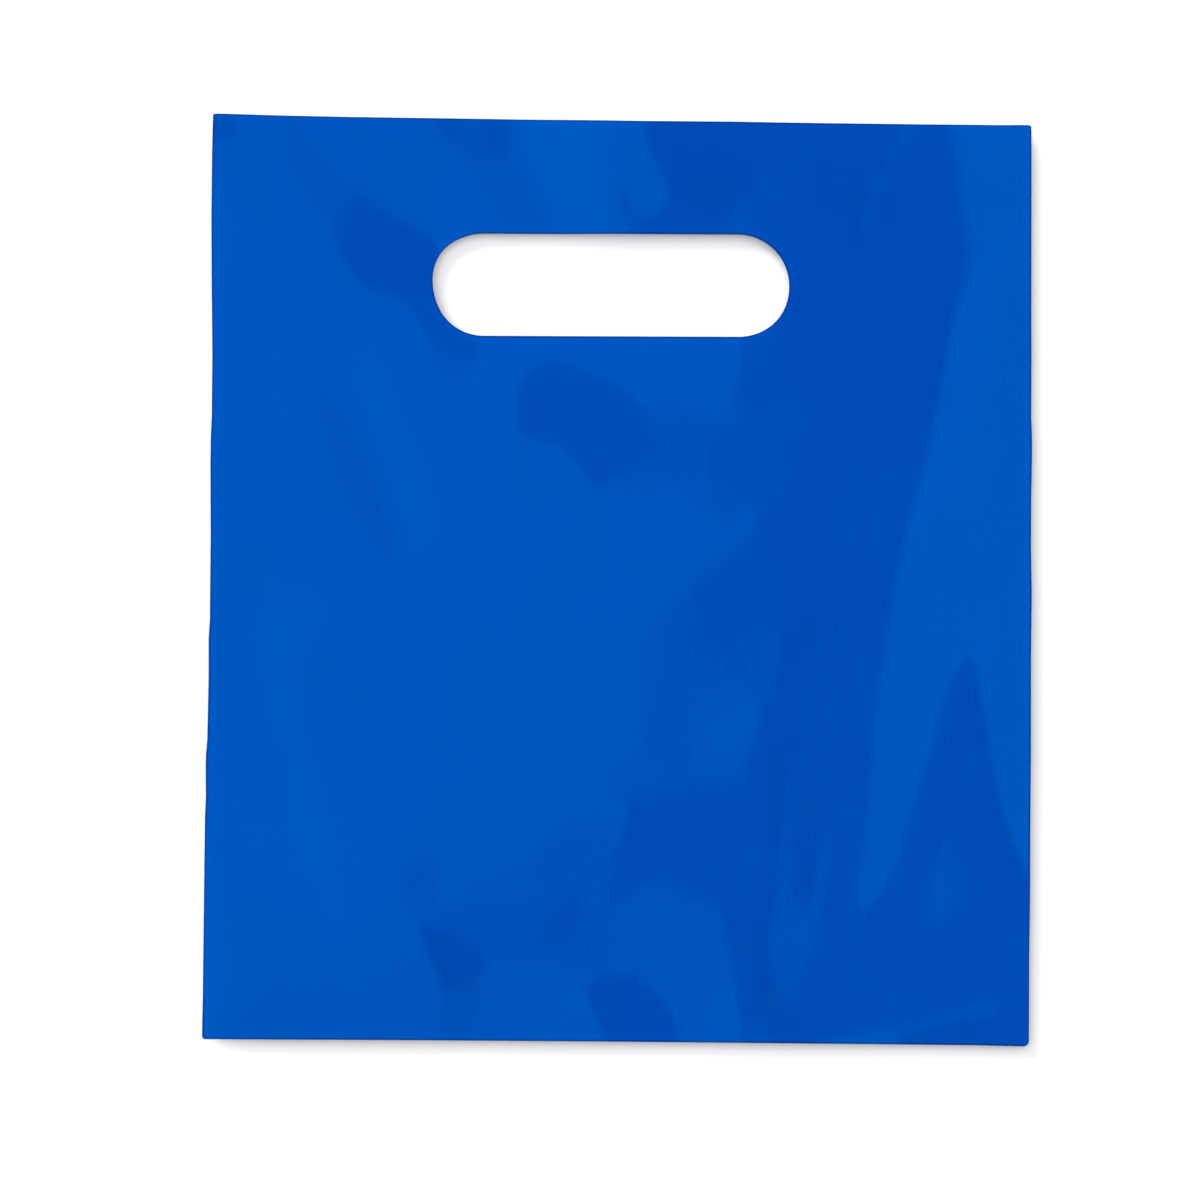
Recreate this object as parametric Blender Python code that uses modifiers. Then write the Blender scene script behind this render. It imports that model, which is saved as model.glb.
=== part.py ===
"""A small plastic carrier bag, lying on its back with a little air between its two plies.

The bag is one length of polyethylene film. It is folded once across the bottom, the
two plies are cut and welded together along both sides by a hot knife, which leaves a
fine round bead, and one hand slot is punched through both plies below the open mouth.

X runs across the bag, Y runs from the bottom fold to the mouth, Z is up from the
surface that it lies on. Metres.
"""

import math

import bmesh
import bpy
from mathutils import Vector

# ---------------------------------------------------------------- driving dimensions
WIDTH = 0.2032  # across the bag, weld to weld
HEIGHT = 0.2286  # from the bottom fold to the mouth
FILM = 0.000064  # thickness of one ply

BEAD_R = 0.00016  # radius of the side welds' bead
BEAD_RUN = 0.00004  # how far a bead runs past the film at each end
PLY_STEP = 0.00011  # middle surface to middle surface where the plies lie together

SLOT_LENGTH = 0.0883
SLOT_WIDTH = 0.0256
SLOT_CENTRE = (-0.0026, 0.0729)
SLOT_TURN = math.radians(0.45)  # the slot is punched a little out of square
SLOT_BULGE = 0.0004  # its left end is drawn out a little at the upper corner

SIDE_LIFT = 0.0033  # height of the side welds above the surface
FOLD_LIFT = 0.0025  # height of the bottom fold above the surface
LIFT_REACH = 0.030  # how far in from an edge the back ply leaves the surface
BODY_GAP = 0.0052  # the most air between the plies, in the body
MOUTH_GAP = 0.0050  # between the plies in the middle of the mouth
FOLD_REACH = 0.064  # how far above the fold the full gap is reached

COLUMNS = 26  # grid steps across
ROWS = 26  # grid steps along each ply
TURN_STEPS = 4  # steps round the bottom fold
BEAD_STEPS = 36  # steps along a weld's bead

FILM_BLUE = (0.0, 0.085, 0.47, 1.0)


# ---------------------------------------------------------------- the bag's own form
def left_edge(y):
    """The left weld's outer edge. The air in the bag draws it in at mid height."""
    return -WIDTH / 2 + 0.00060 - 0.00092 * ((y + 0.012) / 0.126) ** 2


def right_edge(y):
    return WIDTH / 2 + 0.00052 - 0.00073 * ((y + 0.045) / 0.160) ** 2


def mouth_edge(u):
    """The mouth's cut edge, which dips a little between the welds. u is -1 to 1."""
    return HEIGHT / 2 - 0.00036 * (1 - u * u)


def fold_edge(u):
    return -HEIGHT / 2 + 0.00016 * (1 - u * u)


def clamp01(t):
    return max(0.0, min(1.0, t))


def ease(t):
    t = clamp01(t)
    return t * t * (3 - 2 * t)


def back_height(u, y):
    """The back ply's middle surface: flat on the surface, and lifted near its edges."""
    side = clamp01(1 - (1 - abs(u)) * WIDTH / 2 / LIFT_REACH) ** 2
    fold = clamp01(1 - (y + HEIGHT / 2) / LIFT_REACH) ** 2
    return FILM / 2 + SIDE_LIFT * side + FOLD_LIFT * fold * (1 - side)


def gap(u, y):
    """From the back ply's middle surface to the front ply's."""
    across = 1 - abs(u) ** 3
    up = clamp01((y + HEIGHT / 2) / FOLD_REACH)
    along = 1 - (1 - up) ** 3
    full = BODY_GAP + (MOUTH_GAP - BODY_GAP) * ease((y + 0.01) / (HEIGHT / 2 + 0.01))
    return PLY_STEP + (full - PLY_STEP) * across * along


def on_ply(u, share, front):
    """A point on a ply's middle surface. share runs from 0 at the fold to 1 at the mouth."""
    start = fold_edge(u) + PLY_STEP / 2 + FILM / 2
    y = start + (mouth_edge(u) - start) * share
    left, right = left_edge(y) + BEAD_R, right_edge(y) - BEAD_R
    x = (left + right) / 2 + u * (right - left) / 2
    z = back_height(u, y)
    if front:
        z += gap(u, y)
    return Vector((x, y, z))


def on_turn(u, angle):
    """A point on the bottom fold's turn: angle is -90 degrees at the back ply, 90 at the front."""
    low = on_ply(u, 0.0, False)
    r = PLY_STEP / 2
    return Vector((low.x, low.y - r * math.cos(angle), low.z + r + r * math.sin(angle)))


# ---------------------------------------------------------------- building helpers
def clear_scene():
    for obj in list(bpy.data.objects):
        bpy.data.objects.remove(obj, do_unlink=True)


def new_collection(name):
    made = bpy.data.collections.new(name)
    bpy.context.scene.collection.children.link(made)
    return made


def move_to(obj, collection):
    for old in list(obj.users_collection):
        old.objects.unlink(obj)
    collection.objects.link(obj)


def as_helper(obj, collection):
    """A body that only cuts or joins: it isn't one of the bag's own pieces."""
    move_to(obj, collection)
    obj.hide_render = True
    obj.display_type = "WIRE"
    return obj


def curve_to_mesh(curve_obj, name):
    """A curve's evaluated mesh with its loose caps welded on, in place of the curve."""
    depsgraph = bpy.context.evaluated_depsgraph_get()
    mesh = bpy.data.meshes.new_from_object(curve_obj.evaluated_get(depsgraph))
    work = bmesh.new()
    work.from_mesh(mesh)
    bmesh.ops.remove_doubles(work, verts=work.verts, dist=0.000001)
    bmesh.ops.recalc_face_normals(work, faces=work.faces)
    work.to_mesh(mesh)
    work.free()
    mesh.name = name
    obj = bpy.data.objects.new(name, mesh)
    bpy.context.scene.collection.objects.link(obj)
    obj.matrix_world = curve_obj.matrix_world.copy()
    bpy.data.objects.remove(curve_obj, do_unlink=True)
    return obj


def poly_curve(name, points, cyclic, flat):
    data = bpy.data.curves.new(name, "CURVE")
    data.dimensions = "2D" if flat else "3D"
    spline = data.splines.new("POLY")
    spline.points.add(len(points) - 1)
    for target, p in zip(spline.points, points):
        target.co = (p[0], p[1], p[2], 1.0)
    spline.use_cyclic_u = cyclic
    obj = bpy.data.objects.new(name, data)
    bpy.context.scene.collection.objects.link(obj)
    return obj


# ---------------------------------------------------------------- the pieces
def film_web():
    """The film as one open grid: back ply from mouth to fold, round the turn, front ply up."""
    rows = 2 * ROWS + TURN_STEPS
    bpy.ops.mesh.primitive_grid_add(
        x_subdivisions=COLUMNS, y_subdivisions=rows, size=2.0
    )
    web = bpy.context.object
    for v in web.data.vertices:
        # the columns crowd towards the welds, where the film bends most
        u = math.sin(v.co.x * math.pi / 2) * 0.35 + v.co.x * 0.65
        row = round((v.co.y + 1) / 2 * rows)
        if row <= ROWS:
            share = (1 - row / ROWS) ** 1.25
            v.co = on_ply(u, share, False)
        elif row >= ROWS + TURN_STEPS:
            share = ((row - ROWS - TURN_STEPS) / ROWS) ** 1.25
            v.co = on_ply(u, share, True)
        else:
            v.co = on_turn(u, math.pi * ((row - ROWS) / TURN_STEPS - 0.5))
    web.data.update()
    return web


def weld_bead(name, side):
    """One side weld's bead, on the line where the two plies' edges meet."""
    points = []
    for i in range(BEAD_STEPS + 1):
        share = i / BEAD_STEPS
        low = -HEIGHT / 2 - BEAD_RUN
        y = low + (HEIGHT + 2 * BEAD_RUN) * share
        x = left_edge(y) + BEAD_R if side < 0 else right_edge(y) - BEAD_R
        points.append((x, y, back_height(side, y) + PLY_STEP / 2))
    curve = poly_curve(name, points, False, False)
    curve.data.bevel_depth = BEAD_R
    curve.data.bevel_resolution = 2
    curve.data.use_fill_caps = True
    return curve_to_mesh(curve, name)


def slot_outline():
    r = SLOT_WIDTH / 2
    reach = SLOT_LENGTH / 2 - r
    points = []
    steps = 14
    for i in range(steps + 1):
        a = -math.pi / 2 + math.pi * i / steps
        points.append((reach + r * math.cos(a), r * math.sin(a)))
    for i in range(steps + 1):
        a = math.pi / 2 + math.pi * i / steps
        drawn = SLOT_BULGE * max(0.0, math.cos(a - math.radians(145))) ** 4
        points.append((-reach + (r + drawn) * math.cos(a), (r + drawn) * math.sin(a)))
    c, s = math.cos(SLOT_TURN), math.sin(SLOT_TURN)
    return [
        (SLOT_CENTRE[0] + c * x - s * y, SLOT_CENTRE[1] + s * x + c * y, 0.0)
        for x, y in points
    ]


def slot_punch():
    curve = poly_curve("slot_punch", slot_outline(), True, True)
    curve.data.fill_mode = "BOTH"
    curve.data.extrude = 0.010
    return curve_to_mesh(curve, "slot_punch")


def film_material():
    mat = bpy.data.materials.new("blue_film")
    mat.use_nodes = True
    shader = mat.node_tree.nodes["Principled BSDF"]
    shader.inputs["Base Color"].default_value = FILM_BLUE
    shader.inputs["Roughness"].default_value = 0.22
    shader.inputs["Metallic"].default_value = 0.0
    return mat


def main():
    clear_scene()
    bag_parts = new_collection("plastic_carrier_bag")
    helpers = new_collection("cutters")

    bag = film_web()
    bag.name = "bag"
    bag.data.name = "bag"
    move_to(bag, bag_parts)
    bag.data.materials.append(film_material())

    left = as_helper(weld_bead("left_weld", -1), helpers)
    right = as_helper(weld_bead("right_weld", 1), helpers)
    punch = as_helper(slot_punch(), helpers)

    shell = bag.modifiers.new("film", "SOLIDIFY")
    shell.thickness = FILM
    shell.offset = 0.0
    shell.use_even_offset = True

    facets = bag.modifiers.new("facets", "TRIANGULATE")
    facets.quad_method = "FIXED"

    for helper in (left, right):
        weld = bag.modifiers.new(helper.name, "BOOLEAN")
        weld.operation = "UNION"
        weld.solver = "EXACT"
        weld.object = helper

    slot = bag.modifiers.new("hand_slot", "BOOLEAN")
    slot.operation = "DIFFERENCE"
    slot.solver = "EXACT"
    slot.object = punch

    bag.data.shade_smooth()
    bag.data.set_sharp_from_angle(angle=math.radians(35))


main()
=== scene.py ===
"""The looks of a small plastic carrier bag of glossy blue film, lying on its back.

The front ply isn't flat: the air under it and the way it was folded leave broad soft
facets, dents and creases, a few tenths of a millimetre deep. They are modelled as a
height field that bends as little as it can, while each facet keeps its tilt. The rest of
the bag follows from that: the seams, the back ply, the fold, the mouth and the slot.
"""
import math

import bpy
import numpy as np
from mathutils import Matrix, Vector
from mathutils.geometry import delaunay_2d_cdt


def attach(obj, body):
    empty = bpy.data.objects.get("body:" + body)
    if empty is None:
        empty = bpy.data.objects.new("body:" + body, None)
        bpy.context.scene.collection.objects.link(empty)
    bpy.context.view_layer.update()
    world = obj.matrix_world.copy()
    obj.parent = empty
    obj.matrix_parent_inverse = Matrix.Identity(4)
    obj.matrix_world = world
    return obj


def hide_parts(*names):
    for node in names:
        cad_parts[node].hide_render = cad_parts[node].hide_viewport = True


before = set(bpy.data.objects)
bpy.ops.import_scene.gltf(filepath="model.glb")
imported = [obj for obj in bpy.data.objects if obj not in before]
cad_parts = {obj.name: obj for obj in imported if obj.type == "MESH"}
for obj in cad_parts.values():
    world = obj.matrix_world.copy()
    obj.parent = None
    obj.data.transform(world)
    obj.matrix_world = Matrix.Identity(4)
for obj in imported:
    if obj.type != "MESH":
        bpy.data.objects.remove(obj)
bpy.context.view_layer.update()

# ---------------------------------------------------------------- the bag's measures, mm
WIDTH = 203.2
HEIGHT = 228.6
FILM = 0.064  # one ply
PLY_STEP = 0.11  # middle surface to middle surface at the welds and the fold
BEAD = 0.17  # radius of the welds' bead
LIFT_REACH = 30.0  # how far in from an edge the back ply leaves the surface
SLOT_REACH = 16.0  # how far round the slot the back ply is drawn up
SLOT_GAP = 0.9  # between the plies at the slot's edge

SLOT_LENGTH = 88.18
SLOT_WIDTH = 25.58
SLOT_CENTRE = (-2.65, 72.88)
SLOT_TURN = math.radians(0.45)
# the punch's ends aren't quite round: direction in degrees, how far out in mm
SLOT_ENDS_LEFT = [(148, 0.72), (184, -0.16), (226, 0.16)]
SLOT_ENDS_RIGHT = [(-42, 0.26), (40, 0.08)]

# how far each cut edge runs beside a true rectangle, as (along the edge, outwards)
LEFT_RUN = [(-114.3, -0.28), (-104, -0.36), (-74, -0.31), (-60, -0.28), (-55, -0.42), (-49, -0.27),
    (-45, -0.26), (-41, -0.55), (-26, -0.66), (-16, -0.53), (-11.5, -0.77), (9, -0.70),
    (27, -0.38), (34, -0.38), (39, -0.54), (54, -0.46), (74, 0.0), (89, 0.25), (104, 0.27),
    (114.3, 0.17)]
RIGHT_RUN = [(-114.3, 0.53), (-92, 0.46), (-77, 0.57), (-58, 0.50), (-43, 0.54), (-18, 0.43),
    (-3, 0.53), (9, 0.27), (21, 0.26), (32, 0.42), (37, 0.36), (41, 0.15), (56, 0.13),
    (66, 0.04), (89, -0.07), (114.3, -0.21)]
MOUTH_RUN = [(-102, 0.09), (-97, 0.06), (-86, -0.09), (-68, -0.17), (-44, -0.14), (-30, -0.12),
    (-20, -0.17), (4, -0.36), (27, -0.21), (51, -0.28), (75, -0.26), (93, -0.17), (99, -0.02),
    (102, 0.01)]
FOLD_RUN = [(-102, 0.29), (-77, 0.15), (-53, 0.02), (-30, -0.06), (-6, -0.14), (18, -0.16),
    (65, -0.18), (89, -0.17), (102, 0.0)]
CORNERS = (0.7, 1.3, 0.6, 0.6)  # corner radii: bottom left, bottom right, top right, top left

# ---------------------------------------------------------------- camera and studio
CAMERA_AT = (-0.03039, -0.10963, 1.59468)
CAMERA_TURN = (3.73864, -0.96601, 0.59131)  # degrees, XYZ
LENS = 193.74

CARDS_UP = 5.0  # height of the two overhead cards, metres
LEVEL_X = 62.0  # where level film mirrors the middle of the gap between the cards, mm
TILT = 0.0125  # tilt that moves the mirrored spot from the gap's middle to a card's edge

# The film's facets: name, lowest and highest tilt across the bag, softness of the outline
# in mm, and outline in mm from the middle of the bag, +Y towards the mouth. A tilt of 0 is
# the tilt at which that spot mirrors the middle of the gap between the cards, 1 and -1 the
# left and right card's edge. Later ones lie over earlier ones.
FACETS = [
    ("left", 2, 6, 0, [(-110, 120), (108.5, 123), (109.5, -120), (-106.5, -122)]),
    ("right", -4.5, -2.3, 2.5, [(74.5, 125), (111, 125.5), (112, -122.5), (105, -122.5),
        (104.5, -78.5), (53.5, -83), (52, -79), (54.5, -66.5), (55.5, -54), (56.5, -46.5),
        (58, -34.5), (58.5, -22), (60.5, -9.5), (63, 0.5), (65, 10), (67.5, 20), (70, 30),
        (72, 40), (73.5, 49), (75, 57.5), (75.5, 65), (77.5, 73.5), (77.5, 81), (76, 87.5),
        (75, 103.5), (74.5, 112.5)]),
    ("right_soft", -1.62, -1.42, 1, [(83.5, 117.5), (89.5, 117.5), (91, 95), (92.5, 82.5),
        (92, 72.5), (90, 65.5), (85.5, 65.5), (85, 74), (85.5, 82.5), (84.5, 95)]),
    ("right_ramp", -1.3, -1.12, 1, [(80, 117.5), (83.5, 117.5), (84.5, 105), (85.5, 95),
        (86.5, 85), (86.5, 76.5), (85.5, 70), (83.5, 70), (83, 80), (82, 90), (81, 97.5),
        (80.5, 105)]),
    ("dark", 0.68, 0.76, 2, [(3.5, 124), (4.5, 112), (6.5, 106.5), (8.5, 102), (11, 98),
        (12.5, 94.5), (11, 91.5), (8, 89.5), (4.5, 88.5), (1.5, 88), (1.5, 84), (19.5, 69.5),
        (30.5, 60.5), (38, 39.5), (40, 20), (33.5, 14), (36.5, 5), (38.5, -5), (38.5, -27),
        (36.5, -32.5), (33, -41), (30.5, -52), (20.5, -53), (7, -55), (4, -57.5), (2.5, -64.5),
        (1.5, -79.5), (3, -77.5), (8.5, -74.5), (13, -74.5), (18, -78), (29, -80.5), (29.5, -123),
        (43.5, -123), (43, -66.5), (45, -45.5), (48.5, -29.5), (49.5, -10), (54, 5), (55, 25),
        (55.5, 45), (56, 62.5), (56.5, 71.5), (58.5, 78), (62, 83), (64, 89.5), (66, 97),
        (70.5, 104.5), (74, 112.5), (74.5, 125)]),
    ("dark_r", -0.71, -0.63, 3.5, [(70.5, 125), (70, 112.5), (66, 104.5), (62, 96.5), (60, 89),
        (57.5, 83), (54.5, 78), (52.5, 71.5), (52, 62), (51.5, 45), (51, 25), (50, 5), (46.5, -10),
        (45.5, -29.5), (41.5, -45.5), (39.5, -66.5), (37, -84), (37.5, -123), (112, -122.5),
        (112, -78), (101.5, -70.5), (99.5, -68.5), (95, -56), (93, -49), (92.5, -39), (90.5, -29),
        (89, -19), (86, -17), (82, -23), (78.5, -36.5), (74.5, -51.5), (71, -66.5), (69, -73.5),
        (65, -80), (59, -83), (58, -78.5), (60.5, -66.5), (61.5, -54), (62.5, -46.5),
        (63.5, -34.5), (64.5, -22), (66.5, -9.5), (68.5, 0.5), (71, 10.5), (73, 20), (75.5, 30),
        (77.5, 40), (79, 49), (79.5, 57.5), (81, 65), (82.5, 74), (82.5, 81.5), (81, 87.5),
        (80.5, 103.5), (80, 112.5), (80, 125)]),
    ("dark_top", -0.66, -0.56, 2.5, [(72, 125), (80.5, 125), (80.5, 112.5), (80.5, 103.5),
        (81, 88), (76.5, 79.5), (70, 85), (67, 95), (70, 107.5)]),
    ("far_right", -6, -3, 3, [(87, 125), (111, 125.5), (111.5, 15.5), (94, 15.5), (84, 25.5),
        (87.5, 70)]),
    ("right_tail", -1.6, -1.45, 2.5, [(67.5, -9.5), (72.5, -4.5), (75, -14.5), (76, -29.5),
        (71, -51.5), (67.5, -69), (63, -77.5), (61, -76.5), (63.5, -59), (65, -34.5)]),
    ("triangle", -0.66, -0.55, 2, [(85.5, -18.5), (89, -20.5), (91.5, -39), (94.5, -53.5),
        (99.5, -68.5), (112, -85), (112, -103), (85, -103), (62.5, -93.5), (65, -80), (69, -73.5),
        (73, -66.5), (78.5, -44)]),
    ("tri_streak", -1.08, -0.98, 2, [(79.5, -63.5), (83.5, -63), (82.5, -86), (76.5, -86)]),
    ("v1", -0.2, 0.25, 2, [(7, 124), (52.5, 124.5), (48, 112), (44, 108), (38, 103), (34, 98),
        (29.5, 95.5), (24, 93), (19, 92.5), (14.5, 95.5), (11, 101), (8, 108)]),
    ("v2", -0.25, 0.25, 2, [(56, 124.5), (69, 125), (68.5, 112.5), (65, 104.5), (61, 97),
        (59, 89.5), (56.5, 83.5), (53.5, 78.5), (51.5, 72), (51, 62), (50.5, 50.5), (43.5, 49.5),
        (40, 57.5), (43, 69.5), (42, 79.5), (40.5, 90.5), (43, 101.5), (47.5, 106.5), (55, 111.5)]),
    ("rim_low", 0.56, 0.68, 1, [(0.5, 90.5), (4.5, 90), (8, 89.5), (11, 92), (14.5, 92.5),
        (19.5, 91.5), (24.5, 92.5), (28.5, 93.5), (27, 91), (23.5, 84.5), (9.5, 83.5), (1, 83.5)]),
    ("rim_low_a", 0.1, 0.3, 1, [(0, 91), (4.5, 90.5), (8.5, 90), (10.5, 87.5), (9.5, 83.5),
        (0, 83.5)]),
    ("v2_low", 0.3, 0.6, 1, [(37, 94.5), (44, 97), (44, 79), (41.5, 79), (38.5, 83.5), (34.5, 86),
        (34.5, 91)]),
    ("t1", 0.86, 0.95, 1, [(52.5, 124.5), (56, 124.5), (54.5, 112.5), (48.5, 108), (43, 103.5),
        (36, 94.5), (32, 91), (30.5, 84.5), (26, 84.5), (27, 91), (30, 94), (34, 98.5),
        (40.5, 106.5), (46.5, 111), (51, 113.5)]),
    ("t2", -1.02, -0.94, 1, [(69.5, 125), (73, 125), (73, 112.5), (66, 100.5), (62.5, 93),
        (60.5, 84), (58, 84.5), (59.5, 94), (63.5, 101.5), (69.5, 113)]),
    ("v3", -0.3, 0.2, 2, [(80.5, 81), (83, 76.5), (81.5, 62.5), (79, 49), (76.5, 37.5), (70.5, 32),
        (61.5, 32.5), (53, 29.5), (48, 24.5), (46, 19.5), (43.5, 25), (44, 30), (47, 35), (52, 42),
        (56.5, 47.5), (60.5, 52.5), (65.5, 57.5), (69, 63.5), (71.5, 70), (75.5, 74)]),
    ("v4", -0.1, 0.25, 2, [(41.5, 25), (50, 25), (49, 5), (45.5, -10), (44.5, -29.5),
        (40.5, -29.5), (39.5, -15), (41, 5)]),
    ("c1", 1.04, 1.14, 3, [(35, 12.5), (29, 9), (24, 5.5), (19, 1.5), (15, -3), (11.5, -7),
        (9, -12), (8, -17.5), (7.5, -27.5), (7, -37.5), (7, -47), (18, -46.5), (21.5, -30),
        (31.5, -27.5), (39.5, -26.5), (40, -5), (39, 12.5)]),
    ("m3", 0.74, 0.8, 2.5, [(20, -0.5), (25.5, 4.5), (31, 7), (41, 10), (39.5, -9.5),
        (32.5, -10.5), (24, -10), (20, -8.5), (17.5, -4.5)]),
    ("m3b", 0.92, 1, 2, [(17.5, -9.5), (24, -10.5), (23.5, -17.5), (21.5, -22.5), (18, -22),
        (16, -15)]),
    ("m5", 0.95, 1.02, 2.5, [(25, -12.5), (39, -12), (39.5, -28.5), (35.5, -31), (31.5, -27.5),
        (25.5, -23)]),
    ("haze", 1.3, 1.42, 2.5, [(-4.5, -46), (6, -43), (18, -48.5), (18, -52), (5.5, -55.5),
        (-4.5, -55)]),
    ("shelf", 0.95, 1.05, 2, [(0.5, -51.5), (18, -48.5), (32, -47), (32, -52.5), (20.5, -53.5),
        (7, -55.5), (1.5, -56)]),
    ("l1", 1.7, 2.6, 2.5, [(17.5, -31.5), (20.5, -29.5), (28, -29.5), (31, -32.5), (32.5, -36.5),
        (32.5, -41), (30, -46.5), (18.5, -47), (17, -40)]),
    ("m2", 1, 1.08, 2, [(4.5, 45), (17, 43.5), (23.5, 42.5), (28.5, 41), (31, 34.5), (29.5, 19.5),
        (28.5, 14), (23.5, 16), (20, 18.5), (17, 21.5), (7.5, 22), (-2, 22.5), (0, 29.5)]),
    ("m2b", 0.78, 0.88, 2, [(30.5, 58.5), (38.5, 60), (42, 44.5), (41, 20), (36, 19), (32, 17),
        (28.5, 18), (21.5, 24), (22.5, 30.5), (28.5, 37.5), (28, 44.5)]),
    ("m1", 0.68, 0.75, 2, [(-25, 48.5), (-22.5, 52.5), (-17, 54), (-11.5, 52.5), (-5.5, 50.5),
        (-2, 49), (1, 46.5), (5, 44), (7, 39.5), (7, 32.5), (5, 28.5), (0.5, 26.5), (-2, 23.5),
        (-5, 22), (-8.5, 24.5), (-10.5, 28), (-13, 31), (-16.5, 33.5), (-23, 33.5), (-26.5, 36),
        (-26.5, 44)]),
    ("notch", 0.52, 0.68, 2, [(2.5, -57.5), (9.5, -55.5), (32, -53), (32.5, -80), (29.5, -79.5),
        (20.5, -78), (16.5, -76), (12, -73.5), (8.5, -73.5), (5, -75.5), (2, -78.5), (1, -67)]),
    ("sd2", 0.74, 0.82, 1.5, [(-4, -67), (1.5, -64.5), (2.5, -78), (-1, -84), (-5, -81.5),
        (-4, -74.5)]),
    ("a_top", 1.7, 1.95, 2, [(-80.5, 123), (-47, 123.5), (-43.5, 106), (-43.5, 88), (-49, 87.5),
        (-55, 89.5), (-67, 95.5), (-72, 87.5), (-75.5, 93), (-79, 103)]),
    ("d1_rim", 0.74, 0.84, 2, [(-67.5, 95), (-63, 94), (-59, 90), (-50, 86), (-45, 83), (-45, 69),
        (-52.5, 68.5), (-59, 69), (-65, 71.5), (-68, 75), (-70.5, 79.5), (-72, 84), (-71, 89.5)]),
    ("d1", 0.4, 0.55, 2, [(-62, 89), (-55.5, 87), (-49, 84), (-45, 82), (-45, 69), (-52, 69),
        (-56, 70.5), (-61, 72.5), (-64, 75), (-66.5, 79), (-67, 83.5), (-65.5, 87.5)]),
    ("d1_tail2", 1.2, 1.35, 2, [(-52, 67), (-45, 57.5), (-35, 56), (-34.5, 50.5), (-41, 47),
        (-45.5, 47.5), (-49, 56)]),
    ("d1_tail", 0.8, 0.88, 2, [(-52, 69), (-46.5, 69), (-43, 62), (-38.5, 59.5), (-34, 58.5),
        (-34.5, 55.5), (-40.5, 54.5), (-45.5, 56), (-49, 60.5), (-52, 65.5)]),
    ("d2", 0.94, 1.02, 2, [(-48.5, 123.5), (-26.5, 123.5), (-26.5, 107.5), (-30, 104.5),
        (-33, 104), (-37.5, 104.5), (-43.5, 107.5), (-48, 112)]),
    ("d2b", 0.76, 0.84, 1, [(-35, 123.5), (-28, 123.5), (-26.5, 108.5), (-29.5, 106), (-33.5, 106),
        (-35, 109.5)]),
    ("d2a", 0.68, 0.76, 1, [(-48, 123.5), (-40, 123.5), (-39.5, 110), (-42.5, 108.5),
        (-45.5, 110.5), (-48, 113.5)]),
    ("d2_band", 1.25, 1.38, 2, [(-41.5, 106), (-35.5, 103), (-30.5, 102.5), (-26, 105.5),
        (-15, 84), (-26.5, 83.5)]),
    ("wedge", 8.6, 10.5, 1.5, [(-25.5, 123.5), (-5, 124), (-5, 106.5), (-2, 84), (-14, 84),
        (-20.5, 101), (-25, 108.5)]),
    ("tick", 0.82, 0.92, 1, [(-2, 100), (0.5, 100), (1.5, 92), (5, 89), (3.5, 85), (-1, 89.5)]),
    ("p12", 1.5, 1.85, 1, [(-96, 122.5), (-78.5, 123), (-78.5, 106.5), (-87.5, 103.5), (-95, 105),
        (-96, 108.5)]),
    ("p1", 0.8, 0.9, 1, [(-104, 122.5), (-95, 122.5), (-95.5, 108), (-99.5, 106), (-103.5, 106.5)]),
    ("p2", 0.9, 1, 1, [(-85, 123), (-79, 123), (-79.5, 108.5), (-84, 108.5)]),
    ("p2_band", 1.15, 1.28, 2, [(-84, 106.5), (-77, 106.5), (-70, 93.5), (-72.5, 86.5), (-77, 92)]),
    ("s1", 8.5, 10.5, 2, [(-67, 52), (-61.5, 56), (-53.5, 36), (-45.5, 19), (-45, 8.5), (-51, 7.5),
        (-58, 28.5)]),
    ("s1_dark", 1.06, 1.18, 2, [(-76.5, 46.5), (-71, 46), (-66.5, 38.5), (-58, 18.5), (-53, 2.5),
        (-58, 2.5), (-68, 17.5)]),
    ("bright", 8.3, 10.5, 2.5, [(-88, 2.5), (-81, -4), (-71, -6), (-76.5, -18.5), (-78, -31),
        (-73, -50.5), (-70.5, -72.5), (-66.5, -81.5), (-66.5, -95), (-70, -90), (-73.5, -75),
        (-78, -68), (-82, -46), (-88.5, -28.5), (-89.5, -9)]),
    ("bright_low", 6.5, 8, 2.5, [(-66.5, -95), (-62, -109.5), (-65, -109.5), (-69, -92.5)]),
    ("b1_tail", 1, 1.1, 2, [(-54.5, -73), (-52.5, -71), (-48.5, -70), (-43.5, -71.5), (-43, -81),
        (-44.5, -83.5), (-49.5, -81), (-53, -80)]),
    ("mid_l", 1.1, 1.18, 2, [(-42.5, -80.5), (-39.5, -78.5), (-34.5, -77), (-20.5, -74),
        (-18.5, -79.5), (-18.5, -98.5), (-28.5, -99.5), (-31.5, -100.5), (-32.5, -95), (-35, -91),
        (-38, -88), (-42.5, -86)]),
    ("mid_low", 1.14, 1.24, 2, [(-19.5, -87), (-10, -89.5), (-1, -82.5), (2, -93), (-2, -97.5),
        (-7.5, -101), (-13.5, -99.5), (-19.5, -99)]),
    ("mid_r", 1.05, 1.13, 2, [(-20.5, -67.5), (-17.5, -64), (-13, -62), (-4, -60), (-0.5, -61.5),
        (-2, -67), (-3.5, -79.5), (-1, -84), (-2.5, -88.5), (-5, -91.5), (-10, -93.5),
        (-14.5, -93.5), (-17.5, -92), (-19.5, -89), (-20, -79.5)]),
    ("b1", 0.2, 0.4, 1, [(-49, -85), (-45.5, -86.5), (-40, -89), (-35, -91.5), (-32.5, -94.5),
        (-32.5, -97.5), (-36.5, -100), (-42.5, -101), (-44.5, -97.5), (-46.5, -91.5)]),
    ("b1_low", 1.06, 1.15, 1.5, [(-43.5, -101.5), (-32, -100.5), (-32.5, -106.5), (-35, -124),
        (-44, -124)]),
    ("b2", 0.2, 0.4, 1, [(-6.5, -100.5), (-3.5, -98.5), (2.5, -98), (7, -99.5), (11.5, -104),
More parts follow.
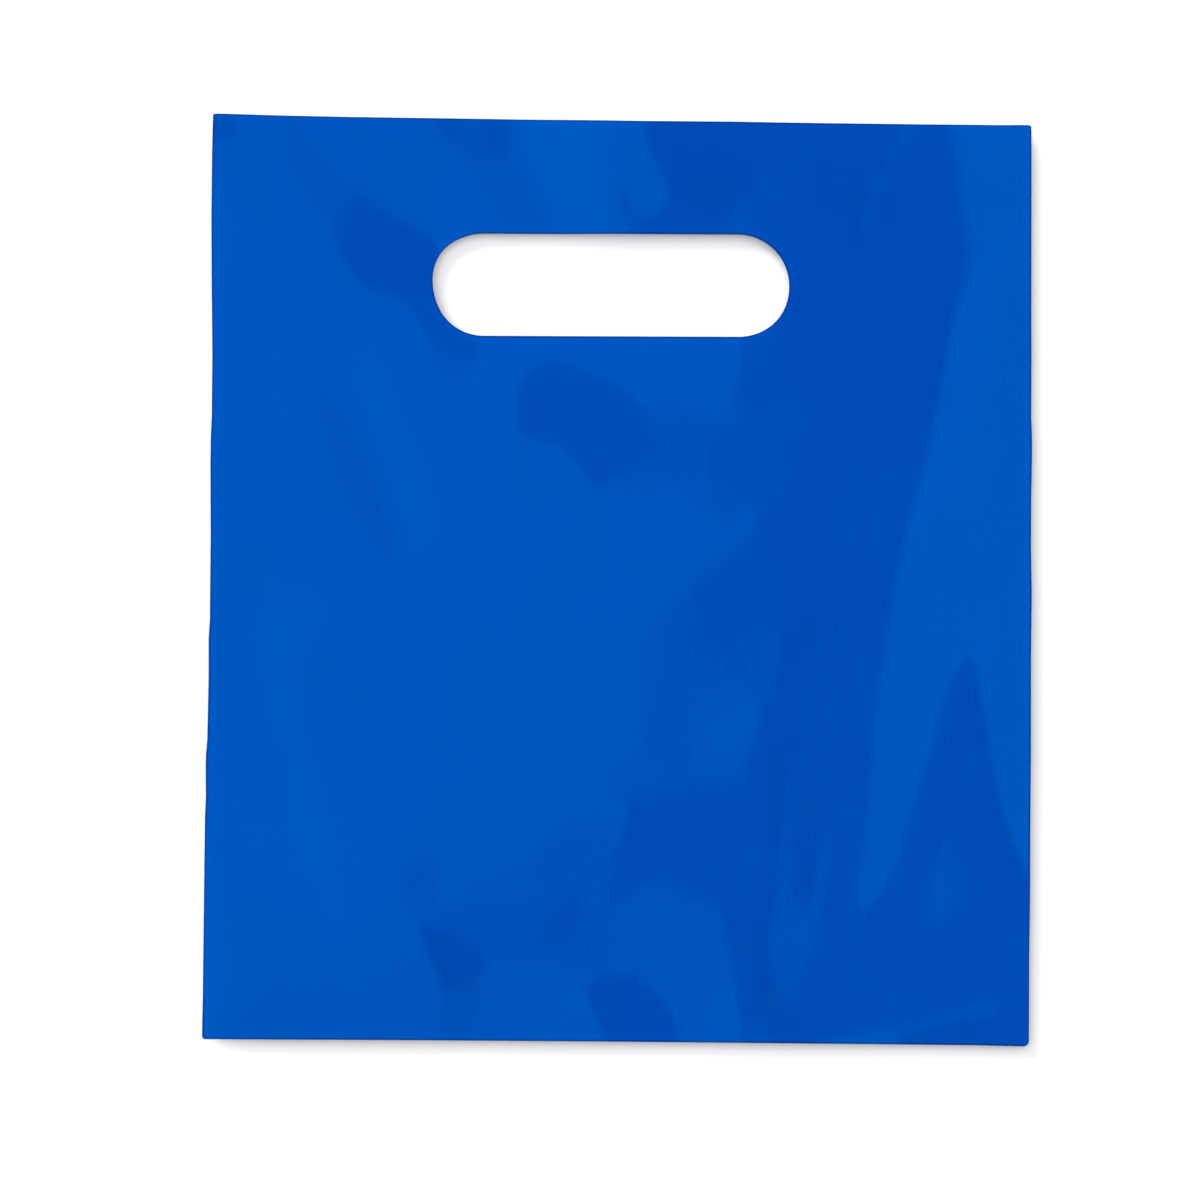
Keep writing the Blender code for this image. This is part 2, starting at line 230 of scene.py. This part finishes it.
        (15.5, -108.5), (19, -115), (23.5, -123.5), (-0.5, -123.5), (-3, -112.5), (-5.5, -106.5),
        (-7.5, -102.5)]),
    ("sd1", 0.6, 0.75, 1, [(-17.5, -89), (-16, -86), (-13, -83.5), (-12.5, -80), (-9, -78.5),
        (-9, -83), (-10.5, -87), (-13, -89)]),
    ("low_l", 1.8, 2.8, 2, [(-30.5, -100.5), (-28, -99), (-18.5, -98), (-13, -100.5), (-8, -104.5),
        (-5.5, -111.5), (-2.5, -123.5), (-31, -124)]),
    ("low", 1.25, 1.4, 2, [(4, -77), (8.5, -76), (13, -76), (18.5, -80), (28, -82), (28.5, -123),
        (24, -123.5), (18.5, -112.5), (12.5, -103), (7.5, -98.5), (3.5, -96.5)]),
    ("low_b", 1.8, 2.6, 2.5, [(6, -85.5), (21, -86.5), (22, -94.5), (8.5, -95)]),
    ("low_b2", 1.7, 2.4, 2.5, [(22, -100), (28, -100), (28, -111), (22, -110)]),
    ("va_top", -0.88, -0.8, 1, [(41.5, -45.5), (44, -45.5), (44, -58), (40.5, -58)]),
    ("va", -1.04, -0.95, 1, [(41, -58), (44, -58), (44, -69), (44.5, -76.5), (38.5, -76.5),
        (39.5, -69)]),
    ("va_low", -1.03, -0.95, 1, [(39, -75), (45, -75), (45.5, -80), (46.5, -86), (45.5, -97.5),
        (43.5, -104), (41, -104), (37.5, -97.5), (38, -86.5)]),
    ("vb", -1.08, -1, 1, [(52, -61), (54.5, -61.5), (52.5, -74), (49.5, -85), (47.5, -93.5),
        (45.5, -100), (44.5, -97.5), (45.5, -86.5), (47, -79)]),
    ("vn", -0.4, -0.2, 1, [(44.5, -66.5), (48, -66.5), (48, -76.5), (46, -81), (44.5, -77.5)]),
    ("bs", -1.6, -1.45, 1, [(60, -110.5), (67, -109), (75, -107.5), (84, -105.7), (94, -104.2),
        (96.5, -104.7), (95, -107.3), (86, -109), (79, -111), (72, -113), (60, -114)]),
    ("bs_low", -2, -1.75, 1, [(45.5, -114.5), (50.5, -112.8), (56, -111.3), (62, -110.3),
        (68.5, -110.5), (71, -112.3), (72.5, -118), (44, -118)]),
]

# ---------------------------------------------------------------- the front ply's form
STEP = 0.8  # grid step, mm
NX, NY = 324, 360
GX = (np.arange(NX) - NX / 2 + 0.5) * STEP
GY = (np.arange(NY) - NY / 2 + 0.5) * STEP


def run(table, at):
    xs, ys = zip(*table)
    return np.interp(at, xs, ys)


def left_edge(y):
    return -WIDTH / 2 - run(LEFT_RUN, y)


def right_edge(y):
    return WIDTH / 2 + run(RIGHT_RUN, y)


def mouth_edge(x):
    return HEIGHT / 2 + run(MOUTH_RUN, x)


def fold_edge(x):
    return -HEIGHT / 2 - run(FOLD_RUN, x)


def rounded(points, times=2):
    """An outline with its corners cut, so that it runs as a soft curve."""
    p = np.asarray(points, float)
    for _ in range(times):
        q = np.roll(p, -1, 0)
        p = np.stack([0.78 * p + 0.22 * q, 0.22 * p + 0.78 * q], 1).reshape(-1, 2)
    return p


def depth_in(outline, x, y):
    """Distance to an outline, in mm: above 0 inside it."""
    best = np.full(x.shape, 1e9)
    inside = np.zeros(x.shape, bool)
    for (x1, y1), (x2, y2) in zip(outline, np.roll(outline, -1, 0)):
        dx, dy = x2 - x1, y2 - y1
        t = np.clip(((x - x1) * dx + (y - y1) * dy) / (dx * dx + dy * dy + 1e-12), 0, 1)
        best = np.minimum(best, (x - x1 - t * dx) ** 2 + (y - y1 - t * dy) ** 2)
        crossed = (y1 > y) != (y2 > y)
        inside ^= crossed & (x < (x2 - x1) * (y - y1) / (y2 - y1 + 1e-15) + x1)
    return np.where(inside, 1, -1) * np.sqrt(best)


def slot_depth(x, y):
    """Distance from the slot's cut edge into the film, mm."""
    c, s = math.cos(SLOT_TURN), math.sin(SLOT_TURN)
    u = (x - SLOT_CENTRE[0]) * c + (y - SLOT_CENTRE[1]) * s
    v = -(x - SLOT_CENTRE[0]) * s + (y - SLOT_CENTRE[1]) * c
    r = SLOT_WIDTH / 2
    reach = SLOT_LENGTH / 2 - r
    off = u - np.clip(u, -reach, reach)
    return np.hypot(off, v) - r


def level_tilt(x):
    """The slope at which the film at x mirrors the middle of the gap to the camera."""
    reach = CAMERA_AT[2] * 1000 - 4.6
    return 0.5 * (1 / reach + 1 / (CARDS_UP * 1000)) * (x - LEVEL_X)


def facet_limits():
    x, y = np.meshgrid(GX + STEP / 2, GY)
    low = np.full(x.shape, -50.0)
    high = np.full(x.shape, 50.0)
    held = np.zeros(x.shape)
    for name, lo, hi, soft, outline in FACETS:
        outline = np.asarray(outline, float)
        reach = soft + STEP
        x0, y0 = outline.min(0) - reach
        x1, y1 = outline.max(0) + reach
        cols = np.flatnonzero((GX + STEP / 2 > x0) & (GX + STEP / 2 < x1))
        rows = np.flatnonzero((GY > y0) & (GY < y1))
        part = np.s_[rows[0]:rows[-1] + 1, cols[0]:cols[-1] + 1]
        deep = depth_in(rounded(outline), x[part], y[part])
        # the glint's edge lies nearer to the facet with the smaller tilt
        tilt = abs(lo + hi) / 2
        lean = 0.4 if tilt < 0.3 else (0.15 if tilt < 1.35 else 0.8)
        ring = (deep > -soft * (1 - lean)) & (deep <= soft * lean)
        low[part][ring] = np.minimum(low[part][ring], lo)
        high[part][ring] = np.maximum(high[part][ring], hi)
        core = deep > soft * lean
        low[part][core] = lo
        high[part][core] = hi
        held[part][core] = 1
    held[(np.abs(x) > WIDTH / 2 + 1) | (np.abs(y) > HEIGHT / 2 + 1)] = 0
    held[slot_depth(x, y) < -1.0] = 0
    level = level_tilt(x)
    return level + low * TILT, level + high * TILT, held


def front_heights():
    """The height field that bends least while every facet keeps its tilt.

    Bending energy and the tilts' limits are brought together by alternating steps, the
    bending step in the frequency domain.
    """
    low, high, held = facet_limits()
    ky, kx = np.meshgrid(
        2 * np.pi * np.fft.fftfreq(NY), 2 * np.pi * np.fft.rfftfreq(NX), indexing="ij"
    )
    across = np.abs(np.exp(1j * kx) - 1) ** 2 / STEP**2
    bend = ((2 * np.cos(kx) - 2 + 2 * np.cos(ky) - 2) / STEP**2) ** 2
    stiff, pull, hold = 0.4, 1.0, 0.004
    system = stiff * bend + pull * across + hold

    x, y = np.meshgrid(GX, GY)
    floor = np.full(x.shape, 2.4)
    roof = np.full(x.shape, 6.6)
    outside = (np.abs(x) > WIDTH / 2) | (np.abs(y) > HEIGHT / 2)
    floor[outside], roof[outside] = -30, 40
    seam = (np.abs(np.abs(x) - WIDTH / 2) < 0.6) & (np.abs(y) < HEIGHT / 2)
    floor[seam], roof[seam] = 3.1, 3.7
    roof[seam & (x < 0)] = 5.2
    fold = (np.abs(y + HEIGHT / 2) < 0.8) & (np.abs(x) < WIDTH / 2)
    floor[fold], roof[fold] = 1.8, 3.4
    rim = np.abs(slot_depth(x, y) - 0.4) < 1.0
    floor[rim], roof[rim] = 2.5, 3.8
    mouth = (np.abs(y - HEIGHT / 2) < 3) & (np.abs(x) < 52)
    floor[mouth], roof[mouth] = 3.6, 5.5
    floor[mouth & (x < -12)] = 2.6
    body = (np.abs(x) < 58) & (y > -75) & (y < 57)
    floor[body] = np.maximum(floor[body], 3.6)

    z = 5 - 1.6 * np.clip(np.abs(x) / 101, 0, 1.2) ** 6 - 2.2 * np.clip(-y / 114, 0, 1.1) ** 6
    tilt_off = np.zeros_like(z)
    z_off = np.zeros_like(z)
    for _ in range(260):
        slope = (np.roll(z, -1, 1) - z) / STEP + tilt_off
        near = np.clip(slope, low, high)
        tilt = np.where(held > 0, (4 * near + pull * slope) / (4 + pull), slope)
        place = np.clip(z + z_off, floor, roof)
        d = tilt - tilt_off
        back = (np.roll(d, 1, 1) - d) / STEP
        z = np.fft.irfft2(
            np.fft.rfft2(pull * back + hold * (place - z_off)) / system, s=z.shape
        )
        tilt_off += (np.roll(z, -1, 1) - z) / STEP - tilt
        z_off += z - place
    return z


FRONT = front_heights()


def front_z(x, y):
    """The front ply's middle surface, mm: a smooth cubic between the grid's heights."""
    x = np.asarray(x, float)
    y = np.asarray(y, float)
    u = (x - GX[0]) / STEP
    v = (y - GY[0]) / STEP
    i = np.clip(np.floor(u).astype(int), 1, NX - 3)
    j = np.clip(np.floor(v).astype(int), 1, NY - 3)
    s, t = u - i, v - j

    def weights(t):
        return (
            (1 - t) ** 3 / 6,
            (3 * t**3 - 6 * t**2 + 4) / 6,
            (-3 * t**3 + 3 * t**2 + 3 * t + 1) / 6,
            t**3 / 6,
        )

    total = 0
    for a, wa in enumerate(weights(s)):
        for b, wb in enumerate(weights(t)):
            total = total + wa * wb * FRONT[j + b - 1, i + a - 1]
    return total


def side_height(y, side):
    edge = left_edge(y) if side < 0 else right_edge(y)
    return front_z(edge, y) - PLY_STEP - FILM / 2


def back_z(x, y):
    """The back ply's middle surface: on the floor, and lifted to meet the seams and the fold."""
    x = np.asarray(x, float)
    y = np.asarray(y, float)
    left, right, fold = left_edge(y), right_edge(y), fold_edge(x)
    total = np.full(x.shape, FILM / 2)
    g = np.clip(1 - (y - fold) / LIFT_REACH, 0, 1) ** 2
    b = front_z(x, fold) - PLY_STEP - FILM / 2
    total += b * g
    for side, edge in ((-1, left), (1, right)):
        s = np.clip(1 - np.abs(x - edge) / LIFT_REACH, 0, 1) ** 2
        low = fold_edge(edge)
        corner = front_z(edge, low) - PLY_STEP - FILM / 2
        total += (side_height(y, side) - corner * g) * s
    # the punch pressed the plies together round the slot, so the back one is drawn up there
    near = np.clip(1 - np.maximum(slot_depth(x, y), 0) / SLOT_REACH, 0, 1) ** 2
    return total + (np.maximum(front_z(x, y) - SLOT_GAP, total) - total) * near


# ---------------------------------------------------------------- outlines
def slot_ring(out, steps=30):
    """The slot's outline, moved outwards into the film by out."""
    r = SLOT_WIDTH / 2
    reach = SLOT_LENGTH / 2 - r
    straight = 60
    points = []
    for k in range(straight):
        points.append((-reach + 2 * reach * k / straight, -r - out))

    def drawn(a, ends):
        return r + out + sum(
            far * max(0.0, math.cos(a - math.radians(at))) ** 6 for at, far in ends
        )

    for k in range(steps):
        a = -math.pi / 2 + math.pi * k / steps
        w = drawn(a, SLOT_ENDS_RIGHT)
        points.append((reach + w * math.cos(a), w * math.sin(a)))
    for k in range(straight):
        points.append((reach - 2 * reach * k / straight, r + out))
    for k in range(steps):
        a = math.pi / 2 + math.pi * k / steps
        w = drawn(a, SLOT_ENDS_LEFT)
        points.append((-reach + w * math.cos(a), w * math.sin(a)))
    c, s = math.cos(SLOT_TURN), math.sin(SLOT_TURN)
    return [(SLOT_CENTRE[0] + c * x - s * y, SLOT_CENTRE[1] + s * x + c * y) for x, y in points]


def bag_ring(inset):
    """The bag's outline moved inwards by inset, anticlockwise from the bottom left.

    Each point is (x, y, side), side being fold, right, mouth or left.
    """
    points = []
    along = 180
    up = 200
    bl, br, tr, tl = (max(r - inset * 0.6, 0.15) for r in CORNERS)

    def corner(cx, cy, r, start, first, second):
        for k in range(5):
            a = start + math.pi / 2 * k / 4
            points.append((cx + r * math.cos(a), cy + r * math.sin(a), first if k < 2 else second))

    x0, x1 = float(left_edge(-HEIGHT / 2)) + inset, float(right_edge(-HEIGHT / 2)) - inset
    y0 = float(fold_edge(x0)) + inset
    y1 = float(fold_edge(x1)) + inset
    corner(x0 + bl, y0 + bl, bl, math.pi, "left", "fold")
    for k in range(1, along):
        x = x0 + bl + (x1 - br - x0 - bl) * k / along
        points.append((x, float(fold_edge(x)) + inset, "fold"))
    corner(x1 - br, y1 + br, br, -math.pi / 2, "fold", "right")
    low = y1 + br
    x2 = float(right_edge(HEIGHT / 2)) - inset
    y2 = float(mouth_edge(x2)) - inset
    for k in range(1, up):
        y = low + (y2 - tr - low) * k / up
        points.append((float(right_edge(y)) - inset, y, "right"))
    corner(x2 - tr, y2 - tr, tr, 0.0, "right", "mouth")
    x3 = float(left_edge(HEIGHT / 2)) + inset
    y3 = float(mouth_edge(x3)) - inset
    for k in range(1, along):
        x = x2 - tr + (x3 + tl - x2 + tr) * k / along
        points.append((x, float(mouth_edge(x)) - inset, "mouth"))
    corner(x3 + tl, y3 - tl, tl, math.pi / 2, "mouth", "left")
    for k in range(1, up):
        y = y3 - tl + (y0 + bl - y3 + tl) * k / up
        points.append((float(left_edge(y)) + inset, y, "left"))
    return points


def edge_depth(x, y):
    """Distance to the nearest cut, welded or folded edge, mm."""
    d = np.minimum(x - left_edge(y), right_edge(y) - x)
    d = np.minimum(d, np.minimum(mouth_edge(x) - y, y - fold_edge(x)))
    return np.minimum(d, slot_depth(x, y))


ROWS = (0.45, 1.0, 1.8)  # rows of points that follow every edge, mm in from it


def film_plan(spacing):
    """Points and triangles of one ply seen from above. The edge's own points come first."""
    outer = bag_ring(BEAD)
    hole = slot_ring(0.0)
    points = [(p[0], p[1]) for p in outer] + hole
    n, m = len(outer), len(hole)
    edges = [(i, (i + 1) % n) for i in range(n)] + [(n + i, n + (i + 1) % m) for i in range(m)]
    if spacing < 2:
        for row in ROWS:
            points += [(p[0], p[1]) for p in bag_ring(BEAD + row)]
            points += slot_ring(row)
        margin = ROWS[-1] + BEAD + 0.45 * spacing
    else:
        margin = BEAD + 0.6 * spacing
    rise = spacing * math.sqrt(3) / 2
    grid = []
    for j in range(int(HEIGHT / rise) + 2):
        y = -HEIGHT / 2 + j * rise
        x = -WIDTH / 2 + (np.arange(int(WIDTH / spacing) + 2) + 0.5 * (j % 2)) * spacing
        grid.append(np.stack([x, np.full(x.shape, y)], 1))
    grid = np.concatenate(grid)
    grid = grid[edge_depth(grid[:, 0], grid[:, 1]) > margin]
    points += [tuple(p) for p in grid]
    made = delaunay_2d_cdt([Vector(p) for p in points], edges, [], 0, 1e-5, True)
    co = np.array([tuple(v) for v in made[0]])
    faces = np.array(made[2])
    if len(co) != len(points):
        raise RuntimeError("the outline's points fell together")
    order = np.array([o[0] for o in made[3]])
    mid = co[faces].mean(1)
    inside = depth_in(np.array([p[:2] for p in outer]), mid[:, 0], mid[:, 1]) > 0
    inside &= depth_in(np.array(hole), mid[:, 0], mid[:, 1]) < 0
    faces = order[faces[inside]]
    back = np.empty_like(co)
    back[order] = co
    a, b, c = back[faces[:, 0]], back[faces[:, 1]], back[faces[:, 2]]
    turn = (b[:, 0] - a[:, 0]) * (c[:, 1] - a[:, 1]) - (b[:, 1] - a[:, 1]) * (c[:, 0] - a[:, 0])
    faces[turn < 0] = faces[turn < 0][:, ::-1]
    return back, faces, outer, m


def make_film():
    verts, faces = [], []

    def layer(plan, z, up):
        start = sum(len(v) for v in verts)
        verts.append(np.column_stack([plan[0], z]))
        f = plan[1] if up else plan[1][:, ::-1]
        faces.extend((f + start).tolist())
        return start

    front = film_plan(1.0)
    inner = film_plan(2.5)
    back = film_plan(4.0)
    outer, m = front[2], front[3]
    n = len(outer)
    fz = front_z(front[0][:, 0], front[0][:, 1])
    iz = front_z(inner[0][:, 0], inner[0][:, 1])
    bz = back_z(back[0][:, 0], back[0][:, 1])
    fo = layer(front, fz + FILM / 2, True)
    fi = layer(inner, iz - FILM / 2, False)
    bi = layer(back, bz + FILM / 2, True)
    bo = layer(back, bz - FILM / 2, False)

    count = sum(len(v) for v in verts)
    extra = []

    def add(p):
        extra.append(p)
        return count + len(extra) - 1

    # the edges: a round bead along the welds and round the fold, a plain cut at the mouth
    ARC = 5
    arcs = {}
    closed = {"left", "fold", "right"}
    ring = np.array([p[:2] for p in outer])
    tangent = np.roll(ring, -1, 0) - np.roll(ring, 1, 0)
    outward = np.stack([tangent[:, 1], -tangent[:, 0]], 1)
    outward /= np.linalg.norm(outward, axis=1)[:, None]

    def is_closed(i):
        return outer[i][2] in closed and outer[(i + 1) % n][2] in closed

    def arc(i):
        if i not in arcs:
            top = fz[i] + FILM / 2
            low = bz[i] - FILM / 2
            mid, half = (top + low) / 2, (top - low) / 2
            r = BEAD
            points = []
            for k in range(1, ARC + 1):
                a = math.pi * (0.5 - k / (ARC + 1))
                x = ring[i][0] + outward[i][0] * r * math.cos(a)
                y = ring[i][1] + outward[i][1] * r * math.cos(a)
                points.append(add((x, y, mid + max(half, r * 0.8) * math.sin(a))))
            arcs[i] = [fo + i] + points + [bo + i]
        return arcs[i]

    sharp = set()
    for i in range(n):
        j = (i + 1) % n
        if is_closed(i):
            a, b = arc(i), arc(j)
            for k in range(ARC + 1):
                faces.append((a[k], a[k + 1], b[k + 1], b[k]))
            faces.append((fi + i, fi + j, bi + j, bi + i))
            sharp.add((fi + i, fi + j))
            sharp.add((bi + i, bi + j))
        else:
            faces.append((fo + i, fi + i, fi + j, fo + j))
            faces.append((bi + i, bo + i, bo + j, bi + j))
            for s in (fo, fi, bi, bo):
                sharp.add((s + i, s + j))
    for i in range(n):
        if is_closed(i) != is_closed((i - 1) % n):
            loop = arc(i) + [bi + i, fi + i]
            faces.append(tuple(loop) if is_closed((i - 1) % n) else tuple(reversed(loop)))
            for a, b in zip(loop, loop[1:] + loop[:1]):
                sharp.add((a, b))
    for i in range(m):
        a, b = n + i, n + (i + 1) % m
        faces.append((fo + b, fi + b, fi + a, fo + a))
        faces.append((bi + b, bo + b, bo + a, bi + a))
        for s in (fo, fi, bi, bo):
            sharp.add((s + a, s + b))

    co = np.concatenate(verts + [np.array(extra)])
    mesh = bpy.data.meshes.new("bag_film")
    mesh.from_pydata((co * 0.001).tolist(), [], faces)
    mesh.validate()
    mesh.shade_smooth()
    sharp = {(min(e), max(e)) for e in sharp}
    flags = [
        (min(e.vertices), max(e.vertices)) in sharp for e in mesh.edges
    ]
    mark = mesh.attributes.get("sharp_edge") or mesh.attributes.new("sharp_edge", "BOOLEAN", "EDGE")
    mark.data.foreach_set("value", flags)
    depth = np.maximum(edge_depth(co[:, 0], co[:, 1]), 0)
    inset = mesh.attributes.new("edge_depth", "FLOAT", "POINT")
    inset.data.foreach_set("value", depth.astype(np.float32))
    obj = bpy.data.objects.new("bag_film", mesh)
    bpy.context.scene.collection.objects.link(obj)
    return obj


# ---------------------------------------------------------------- materials
def new_material(name):
    mat = bpy.data.materials.new(name)
    mat.use_nodes = True
    nodes, links = mat.node_tree.nodes, mat.node_tree.links
    return mat, nodes, links, nodes["Principled BSDF"]


def film_material():
    """Glossy opaque blue film: even colour, a faint drawn grain, a painted dark rim of shade along the bead and cut
    edges, and a painted glow of light just inside them.
    """
    mat, nodes, links, shader = new_material("blue_film")
    shader.inputs["Metallic"].default_value = 0.0
    shader.inputs["IOR"].default_value = 1.5
    shader.inputs["Specular Tint"].default_value = (0.0, 0.41, 1.0, 1.0)

    where = nodes.new("ShaderNodeTexCoord")

    def noise(scale, detail, stretch=(1, 1, 1)):
        mapping = nodes.new("ShaderNodeMapping")
        mapping.inputs["Scale"].default_value = stretch
        links.new(where.outputs["Object"], mapping.inputs["Vector"])
        tex = nodes.new("ShaderNodeTexNoise")
        tex.inputs["Scale"].default_value = scale
        tex.inputs["Detail"].default_value = detail
        links.new(mapping.outputs["Vector"], tex.inputs["Vector"])
        return tex.outputs["Fac"]

    def math_node(kind, a, b=None, clamp=False):
        node = nodes.new("ShaderNodeMath")
        node.operation = kind
        node.use_clamp = clamp
        for slot_, value in zip(node.inputs, (a, b)):
            if value is None:
                continue
            if isinstance(value, (int, float)):
                slot_.default_value = value
            else:
                links.new(value, slot_)
        return node.outputs[0]

    def span(value, low, high, to_low, to_high):
        node = nodes.new("ShaderNodeMapRange")
        node.inputs["From Min"].default_value = low
        node.inputs["From Max"].default_value = high
        node.inputs["To Min"].default_value = to_low
        node.inputs["To Max"].default_value = to_high
        links.new(value, node.inputs["Value"])
        return node.outputs["Result"]

    depth = nodes.new("ShaderNodeAttribute")
    depth.attribute_name = "edge_depth"
    # painted shade: the colour is darkened 0.25 to 0.6 mm in from every bead and cut edge, where the bead's tilt would
    # shade it
    rim = span(depth.outputs["Fac"], 0.25, 0.6, 1.0, 0.0)
    # painted light: the colour is lifted 0.4 to 2.6 mm in from every edge, standing in for light shining through the
    # film from the white floor
    painted_glow_in = span(depth.outputs["Fac"], 0.4, 0.9, 0.0, 1.0)
    painted_glow_out = span(depth.outputs["Fac"], 1.2, 2.6, 1.0, 0.0)
    painted_edge_glow = math_node("MULTIPLY", painted_glow_in, painted_glow_out)

    cloud = noise(38.0, 3.0)
    grain = noise(420.0, 2.0, (1.0, 0.12, 1.0))
    shade = math_node("ADD", span(cloud, 0.25, 0.75, -0.012, 0.012), span(grain, 0.2, 0.8, -0.008, 0.008))
    tone = math_node("ADD", shade, 1.0)

    body = nodes.new("ShaderNodeMix")
    body.data_type = "RGBA"
    body.inputs[6].default_value = (0.0, BASE_G, BASE_B, 1.0)
    # the second colour is the painted edge glow, a little brighter and bluer
    body.inputs[7].default_value = (0.0, BASE_G * 1.03, BASE_B * 1.06, 1.0)
    links.new(painted_edge_glow, body.inputs[0])
    rim_shade_mix = nodes.new("ShaderNodeMix")
    rim_shade_mix.data_type = "RGBA"
    # the painted rim shade's dark colour
    rim_shade_mix.inputs[7].default_value = (0.0, BASE_G * 0.52, BASE_B * 0.6, 1.0)
    links.new(body.outputs[2], rim_shade_mix.inputs[6])
    links.new(rim, rim_shade_mix.inputs[0])
    toned = nodes.new("ShaderNodeVectorMath")
    toned.operation = "SCALE"
    links.new(rim_shade_mix.outputs[2], toned.inputs[0])
    links.new(tone, toned.inputs["Scale"])
    links.new(toned.outputs[0], shader.inputs["Base Color"])

    rough = math_node("ADD", span(grain, 0.2, 0.8, -0.008, 0.008), span(cloud, 0.2, 0.8, ROUGH - 0.006, ROUGH + 0.006))
    links.new(rough, shader.inputs["Roughness"])

    peel = noise(520.0, 1.0)
    drawn = noise(900.0, 1.0, (1.0, 0.05, 1.0))
    height = math_node("ADD", math_node("MULTIPLY", peel, 0.7), math_node("MULTIPLY", drawn, 0.3))
    bump = nodes.new("ShaderNodeBump")
    bump.inputs["Strength"].default_value = 1.0
    bump.inputs["Distance"].default_value = 0.0000035
    links.new(height, bump.inputs["Height"])
    links.new(bump.outputs["Normal"], shader.inputs["Normal"])
    return mat


BASE_G, BASE_B, ROUGH = 0.0430, 0.3090, 0.07


def floor_material():
    """Smooth white board, with a barely visible cloud in its colour and finish."""
    mat, nodes, links, shader = new_material("white_table")
    shader.inputs["Specular IOR Level"].default_value = 0.2
    where = nodes.new("ShaderNodeTexCoord")
    cloud = nodes.new("ShaderNodeTexNoise")
    cloud.inputs["Scale"].default_value = 9.0
    cloud.inputs["Detail"].default_value = 4.0
    links.new(where.outputs["Object"], cloud.inputs["Vector"])
    shade = nodes.new("ShaderNodeMix")
    shade.data_type = "RGBA"
    shade.inputs[6].default_value = (0.945, 0.945, 0.945, 1.0)
    shade.inputs[7].default_value = (0.955, 0.955, 0.955, 1.0)
    links.new(cloud.outputs["Fac"], shade.inputs[0])
    links.new(shade.outputs[2], shader.inputs["Base Color"])
    rough = nodes.new("ShaderNodeMapRange")
    rough.inputs["To Min"].default_value = 0.86
    rough.inputs["To Max"].default_value = 0.94
    links.new(cloud.outputs["Fac"], rough.inputs["Value"])
    links.new(rough.outputs["Result"], shader.inputs["Roughness"])
    return mat


# ---------------------------------------------------------------- the piece
film = make_film()
film.data.materials.append(film_material())
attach(film, "root")
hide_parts("bag")

# ---------------------------------------------------------------- studio
bpy.ops.mesh.primitive_plane_add(size=60, location=(0, 0, -0.0001))
table = bpy.context.object
table.name = "table"
table.data.materials.append(floor_material())

scene = bpy.context.scene
world = bpy.data.worlds.new("studio")
scene.world = world
world.use_nodes = True
WORLD = 0.40
nodes, links = world.node_tree.nodes, world.node_tree.links
sky = nodes["Background"]
sky.inputs["Color"].default_value = (1, 1, 1, 1)
sky.inputs["Strength"].default_value = WORLD


def area_light(name, at, size, radiance, aim=None, grow=None):
    """A rectangular light of a given radiance. grow is not used."""
    data = bpy.data.lights.new(name, "AREA")
    data.shape = "RECTANGLE"
    data.size, data.size_y = size
    data.energy = radiance * math.pi * size[0] * size[1]
    obj = bpy.data.objects.new(name, data)
    scene.collection.objects.link(obj)
    obj.location = at
    if aim is not None:
        obj.rotation_euler = (Vector(aim) - Vector(at)).to_track_quat("-Z", "Y").to_euler()
    obj.visible_camera = False
    return obj


def mirrored_x(u):
    """Where, on the cards' plane, film tilted by u steps is mirrored to the camera, metres."""
    reach = CAMERA_AT[2] * 1000 - 4.6
    up = CARDS_UP * 1000
    middle = LEVEL_X + up * (LEVEL_X - CAMERA_AT[0] * 1000) / reach
    return (middle - 2 * up * TILT * u) / 1000


CARD_L, CARD_R, KEY = 1.65, 2.07, 11.1
# the left card is a row of strips, brighter away from the gap
edges_u = [1.0, 6.0, 7.5, 9.0, 27.0]
gains = [1.0, 1.1, 1.18, 1.25]
for k in range(4):
    xa, xb = mirrored_x(edges_u[k]), mirrored_x(edges_u[k + 1])
    area_light("card_left_%d" % k, ((xa + xb) / 2, 0.35, CARDS_UP), (abs(xb - xa), 5.6), CARD_L * gains[k])
xa = mirrored_x(-1.0)
area_light("card_right", (xa + 1.45, 0.35, CARDS_UP), (2.9, 5.6), CARD_R)
# the key light comes from the upper left and throws the narrow shadows; it is a soft box
# that the film doesn't mirror
key = area_light("key", (-4.3, 4.7, 2.9), (4.2, 4.2), KEY, aim=(0, 0, 0))
key.visible_glossy = False

camera_data = bpy.data.cameras.new("camera")
camera_data.sensor_width = 36.0
camera_data.lens = LENS
camera_data.clip_start = 0.01
camera_data.clip_end = 200.0
camera = bpy.data.objects.new("camera", camera_data)
scene.collection.objects.link(camera)
camera.location = CAMERA_AT
camera.rotation_euler = tuple(math.radians(a) for a in CAMERA_TURN)
scene.camera = camera
scene.view_settings.view_transform = "Standard"
scene.view_settings.look = "None"
